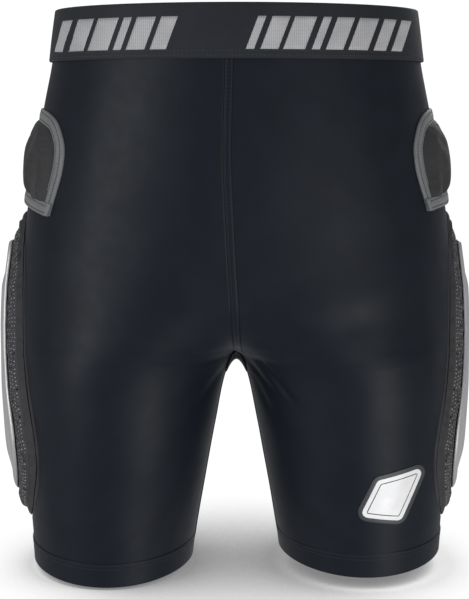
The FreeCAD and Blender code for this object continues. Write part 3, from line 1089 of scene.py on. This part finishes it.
def bind(name, line, wrap, replaced, over=0.0, closed=False):
    """Binding tape along a line, with its two rows of stitches."""
    tape = ribbon(f"{name}_tape", line, wrap, [(inset, lift + over) for inset, lift in TAPE_PROFILE], closed)
    fit(dress(tape, "binding_tape"), "seat", replaced)
    lines = []
    for inset in STITCH_INSETS:
        points = lay(wrap, inset_line(line, inset, wrap, closed), 1.95 + over)
        lines.append(closed_up(points) if closed else points[1:-1])
    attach(sew(f"{name}_stitches", lines, "binding_tape", 0.34, 2.5, 2.15), "seat")


def covered_pad(name, edge, spine, reach, cap, wrap, *replaced):
    """A cushion under a tape: held at its rim, free over the rest."""
    loops = [edge] + to_spine(edge, *spine, 16)
    insets = [distance_inside(loop, edge) for loop in loops]
    lifts = [crown(inset, reach) for inset in insets]
    sewn = [float(smoothstep(5.0, 1.5, inset.mean())) for inset in insets]
    pad = inflate(cushion(name, loops, lifts, sewn, wrap), cap)
    fit(dress(pad, "pad_fabric"), "seat", *replaced)


def lining(name, edge, wrap, spine, replaced):
    """The thin sheet inside the shell behind a pad."""
    loops = np.stack([edge] + to_spine(edge, *spine, 10))
    made = grid_object(name, lay(wrap, loops, -CLOTH - 0.5), wrap_cols=True)
    stretched(made)
    fit(thicken(dress(made, "lining_mesh"), 0.5), "seat", replaced)


def on_hip(side):
    """Wraps a side view of a hip pad; the left pad's front edge sits a little further back and higher."""
    wrap = on_side(side)

    def left(y, z, lift):
        ahead = smoothstep(-15, -60, y)
        return wrap(y + 4.2 * ahead, z + 3.8 * ahead * smoothstep(-115, -158, z), lift)

    return left if side == LEFT else wrap


def make_hip_pads():
    edge = spline(HIP_COVER, closed=True, spacing=2.6)
    spine = (-122, -108)
    for side, who in SIDES:
        wrap = on_hip(side)
        hip = f"{who}_hip"
        covered_pad(f"{hip}_pad", edge, spine, 30, 2.6, wrap, f"{hip}_cover", f"{hip}_foam")
        bind(hip, spline(HIP_ARCH), wrap, f"{hip}_tape")
        bind(f"{hip}_foot", spline(HIP_FOOT), wrap, f"{hip}_lower_tape", 1.5)
        lining(f"{hip}_lining_sheet", edge, wrap, spine, f"{hip}_lining")


def make_tail_pad():
    wrap = on_middle(1)
    line = spline(both_halves(TAIL_EDGE), closed=True, spacing=2.6)
    edge = inset_line(line, TAPE_WIDTH - 2.0, wrap, closed=True)
    covered_pad("tailbone_pad", edge, (-140, -104), 28, 3.4, wrap, "tailbone_cover", "tailbone_foam")
    bind("tailbone", line, wrap, "tailbone_tape", closed=True)


FLANK_RINGS, UNDER_RINGS = 15, 7
SPLIT_RING = 4  # the ring where the plain flank meets the perforated one
PLATE_SEAT = 8.4
PAD_SET = {LEFT: 0.6, RIGHT: 2.8}  # the two pads stand out by different amounts


def plate_seat(z):
    """How high the plate's underside lies: less towards its two ends."""
    return PLATE_SEAT - 2.6 * smoothstep(-340, -396, z) - 1.6 * smoothstep(-222, -180, z)


def make_thigh_pads():
    """The long pad on each outer thigh, with a plain flank, a perforated one and a hard plate on top."""
    edge = spline(both_halves(THIGH_EDGE), closed=True, count=210)
    inner = spline(both_halves(PLATE_EDGE), closed=True, count=210)
    share = np.linspace(0, 1, FLANK_RINGS)
    loops = [edge + (inner - edge) * s for s in share] + to_spine(inner, -350, -210, UNDER_RINGS)
    rise = 0.5 + (PLATE_SEAT - 1.0) * (1 - (1 - share) ** 1.9)
    rise[SPLIT_RING] -= 0.9
    rise[-1] -= 0.8
    rise = np.concatenate([rise, np.full(UNDER_RINGS, PLATE_SEAT - 0.9)])
    lifts = [r * plate_seat(loop[:, 1]) / PLATE_SEAT for r, loop in zip(rise, loops)]
    sewn = np.ones(len(lifts))
    sewn[1:SPLIT_RING] = sewn[SPLIT_RING + 1 : FLANK_RINGS - 1] = 0
    pad = cushion("left_thigh_pad", loops, lifts, sewn, on_side(LEFT))
    pad.data.materials.append(MATERIALS["side_fabric"])
    pad.data.materials.append(MATERIALS["perforated_mesh"])
    paint_inside(pad, SPLIT_RING)
    inflate(pad, 1.3)
    other = mirror_copy(pad, "right_thigh_pad")
    for (side, who), piece in zip(SIDES, (pad, other)):
        fit(piece, f"{who}_leg", f"{who}_thigh_cover", f"{who}_thigh_foam")
        plate = make_plate(f"{who}_silver_plate", inner, on_side(side))
        fit(plate, f"{who}_leg", f"{who}_thigh_plate", f"{who}_thigh_rib")
        for made in (piece, plate):
            push_out(made, side, PAD_SET[side])


def paint_inside(pad, limit):
    """Gives the second material to the faces inside one of the cushion's rings."""
    ring = pad.data.attributes["ring"].data
    for face in pad.data.polygons:
        face.material_index = int(np.mean([ring[i].value for i in face.vertices]) > limit)


def push_out(obj, side, by):
    """Moves the raised part of a piece further out from the thigh."""
    co = co_of(obj) / MM
    base = np.abs(on_side(side)(co[:, 1], co[:, 2], 0.0)[..., 0])
    co[:, 0] += side * by * smoothstep(0.8, 6.0, np.abs(co[:, 0]) - base)
    set_co(obj, co * MM)


def make_plate(name, edge, wrap):
    """The hard plate: a rolled edge, a shallow channel and a crowned rib down its middle."""
    loops = np.stack([edge] + to_spine(edge, -352, -212, 26))
    inset = distance_inside(loops, edge)
    across, z = np.abs(loops[..., 0]), loops[..., 1]
    round_edge = np.sqrt(1 - (1 - np.clip(inset / 2.4, 0, 1)) ** 2)
    rim = 0.9 + 1.9 * round_edge * (1 - 0.6 * smoothstep(-370, -387, z))
    channel = -0.7 * smoothstep(3.5, 6.5, inset)
    half = 5 + 10 * smoothstep(-230, -330, z)
    long = smoothstep(-196, -222, z) * smoothstep(-380, -352, z)
    rib = 3.0 * smoothstep(1.15, 0.35, across / half) * long
    lift = plate_seat(z) + rim + channel + rib
    under = lay(wrap, loops, plate_seat(z) - 0.3)
    points = np.concatenate([under[::-1], lay(wrap, loops, lift)])
    return dress(grid_object(name, points, wrap_cols=True), "silver_plate")


PATCH_CORE = ((102, -386), (126, -390), (140, -359), (112, -364))


def grown(by):
    """The patch's core offset outwards, with round corners."""
    points = []
    for k, corner in enumerate(PATCH_CORE):
        before = np.subtract(corner, PATCH_CORE[k - 1])
        after = np.subtract(PATCH_CORE[(k + 1) % len(PATCH_CORE)], corner)
        a = math.atan2(before[1], before[0]) - math.pi / 2
        b = math.atan2(after[1], after[0]) - math.pi / 2
        b += 2 * math.pi * (b < a)
        points += [(corner[0] + by * math.cos(t), corner[1] + by * math.sin(t)) for t in np.linspace(a, b, 9)]
    return resample(points + points[:1], spacing=1.5)[:-1]


def flat_patch(name, by, height, round_by, material):
    """A thin film over the left thigh with a rounded edge, larger than the patch's core."""
    edge = grown(by)
    middle = edge.mean(0)
    loops = np.stack([middle + (edge - middle) * s for s in (1, 0.99, 0.97, 0.94, 0.85, 0.65, 0.4, 0.15, 0)])
    lift = height - round_by * np.array([1, 0.5, 0.15, 0, 0, 0, 0, 0, 0])[:, None]
    made = grid_object(name, lay(on_left_thigh, loops, lift), wrap_cols=True)
    return thicken(dress(made, material), 0.35)


def make_patch():
    """The plain reflective patch on the left thigh, with a dark border and an inner line."""
    fit(flat_patch("patch_border", 8.0, 0.75, 0.35, "patch_border"), "left_leg", "reflective_border")
    fit(flat_patch("patch_film", 4.6, 1.1, 0.3, "reflective_film"), "left_leg", "reflective_patch")
    profile = ((0, 0.9), (0, 1.16), (0.35, 1.24), (0.7, 1.16), (0.7, 0.9))
    inner = ribbon("patch_inner_line", grown(1.2), on_left_thigh, profile, closed=True)
    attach(dress(inner, "patch_border"), "left_leg")


# ---- stage, light and camera


def make_stage():
    """A floor that glows evenly pale, with a soft painted shadow from its ambient occlusion where the shorts
    stand close over it, and a white world.
    """
    z, far = -452.0, 40000.0
    corners = [(-far, -far, z), (far, -far, z), (far, far, z), (-far, far, z)]
    floor = make_object("studio_floor", corners, [[0, 1, 2, 3]])
    s = Shader("pale_floor", Base_Color=(0, 0, 0), Specular_IOR_Level=0, Emission_Color=(1, 1, 1))
    # The floor has no colour of its own: its glow, darkened by ambient occlusion, is a painted shadow under
    # the shorts, darkest where the hems nearly touch.
    sky = s.node("ShaderNodeAmbientOcclusion", {"Distance": 0.26}, "AO", samples=12)
    edge = {"Value": sky, "From Min": 0.3, "From Max": 0.82, "To Min": 0.34, "To Max": 1.05}
    painted_shadow = s.node("ShaderNodeMapRange", edge, interpolation_type="SMOOTHSTEP")
    painted_contact_shadow = s.node("ShaderNodeMapRange", {"Value": sky, "From Max": 0.38, "To Min": 0.2})
    s.set(Emission_Strength=seen_directly(s.tree, 0.45, s.times(painted_shadow, painted_contact_shadow)))
    floor.data.materials.append(s.material)
    floor.visible_shadow = False
    world = bpy.data.worlds.new("studio")
    bpy.context.scene.world = world
    world.use_nodes = True
    back = world.node_tree.nodes["Background"]
    back.inputs["Color"].default_value = (1, 1, 1, 1)
    world.node_tree.links.new(seen_directly(world.node_tree, 0.28, 1.05), back.inputs["Strength"])


def seen_directly(tree, lighting, seen):
    """One strength for the light a surface gives, and another for what is seen straight on."""
    ray = tree.nodes.new("ShaderNodeLightPath")
    pick = tree.nodes.new("ShaderNodeMapRange")
    pick.inputs["To Min"].default_value = lighting
    tree.links.new(ray.outputs["Is Camera Ray"], pick.inputs["Value"])
    if isinstance(seen, float):
        pick.inputs["To Max"].default_value = seen
    else:
        tree.links.new(seen, pick.inputs["To Max"])
    return pick.outputs[0]


def soft_light(name, place, target, size, power, colour=(1, 1, 1)):
    light = bpy.data.lights.new(name, "AREA")
    light.shape = "RECTANGLE"
    light.size, light.size_y = size
    light.energy = power
    light.color = colour
    made = link(name, light)
    made.location = place
    made.rotation_euler = (Vector(target) - Vector(place)).to_track_quat("-Z", "Y").to_euler()


def make_lights():
    middle = (0, 0, -0.2)
    soft_light("key_light", (-1.8, -1.4, -0.1), middle, (0.8, 1.2), 27, (0.97, 0.98, 1.0))
    soft_light("fill_light", (1.2, -1.5, -0.85), (0.05, 0, -0.35), (0.8, 0.8), 22)
    soft_light("top_light", (0, 0.3, 2.2), middle, (2.4, 1.6), 9)
    soft_light("back_light", (0.6, 1.9, 0.9), middle, (1.6, 1.2), 26)


def make_camera():
    camera = bpy.data.cameras.new("camera")
    camera.lens = 82.6
    camera.sensor_width = 36.0
    made = link("camera", camera)
    made.location = (-0.0016, -1.114, -0.0733)
    made.rotation_euler = (math.radians(90 - 8.07), 0, 0)
    bpy.context.scene.camera = made
    bpy.context.scene.view_settings.view_transform = "Standard"


make_shell()
make_centre_seams()
make_inseams()
make_side_stitches()
make_gusset()
make_waistband()
make_marks()
make_hems()
make_label()
make_hip_pads()
make_tail_pad()
make_thigh_pads()
make_patch()
make_stage()
make_lights()
make_camera()
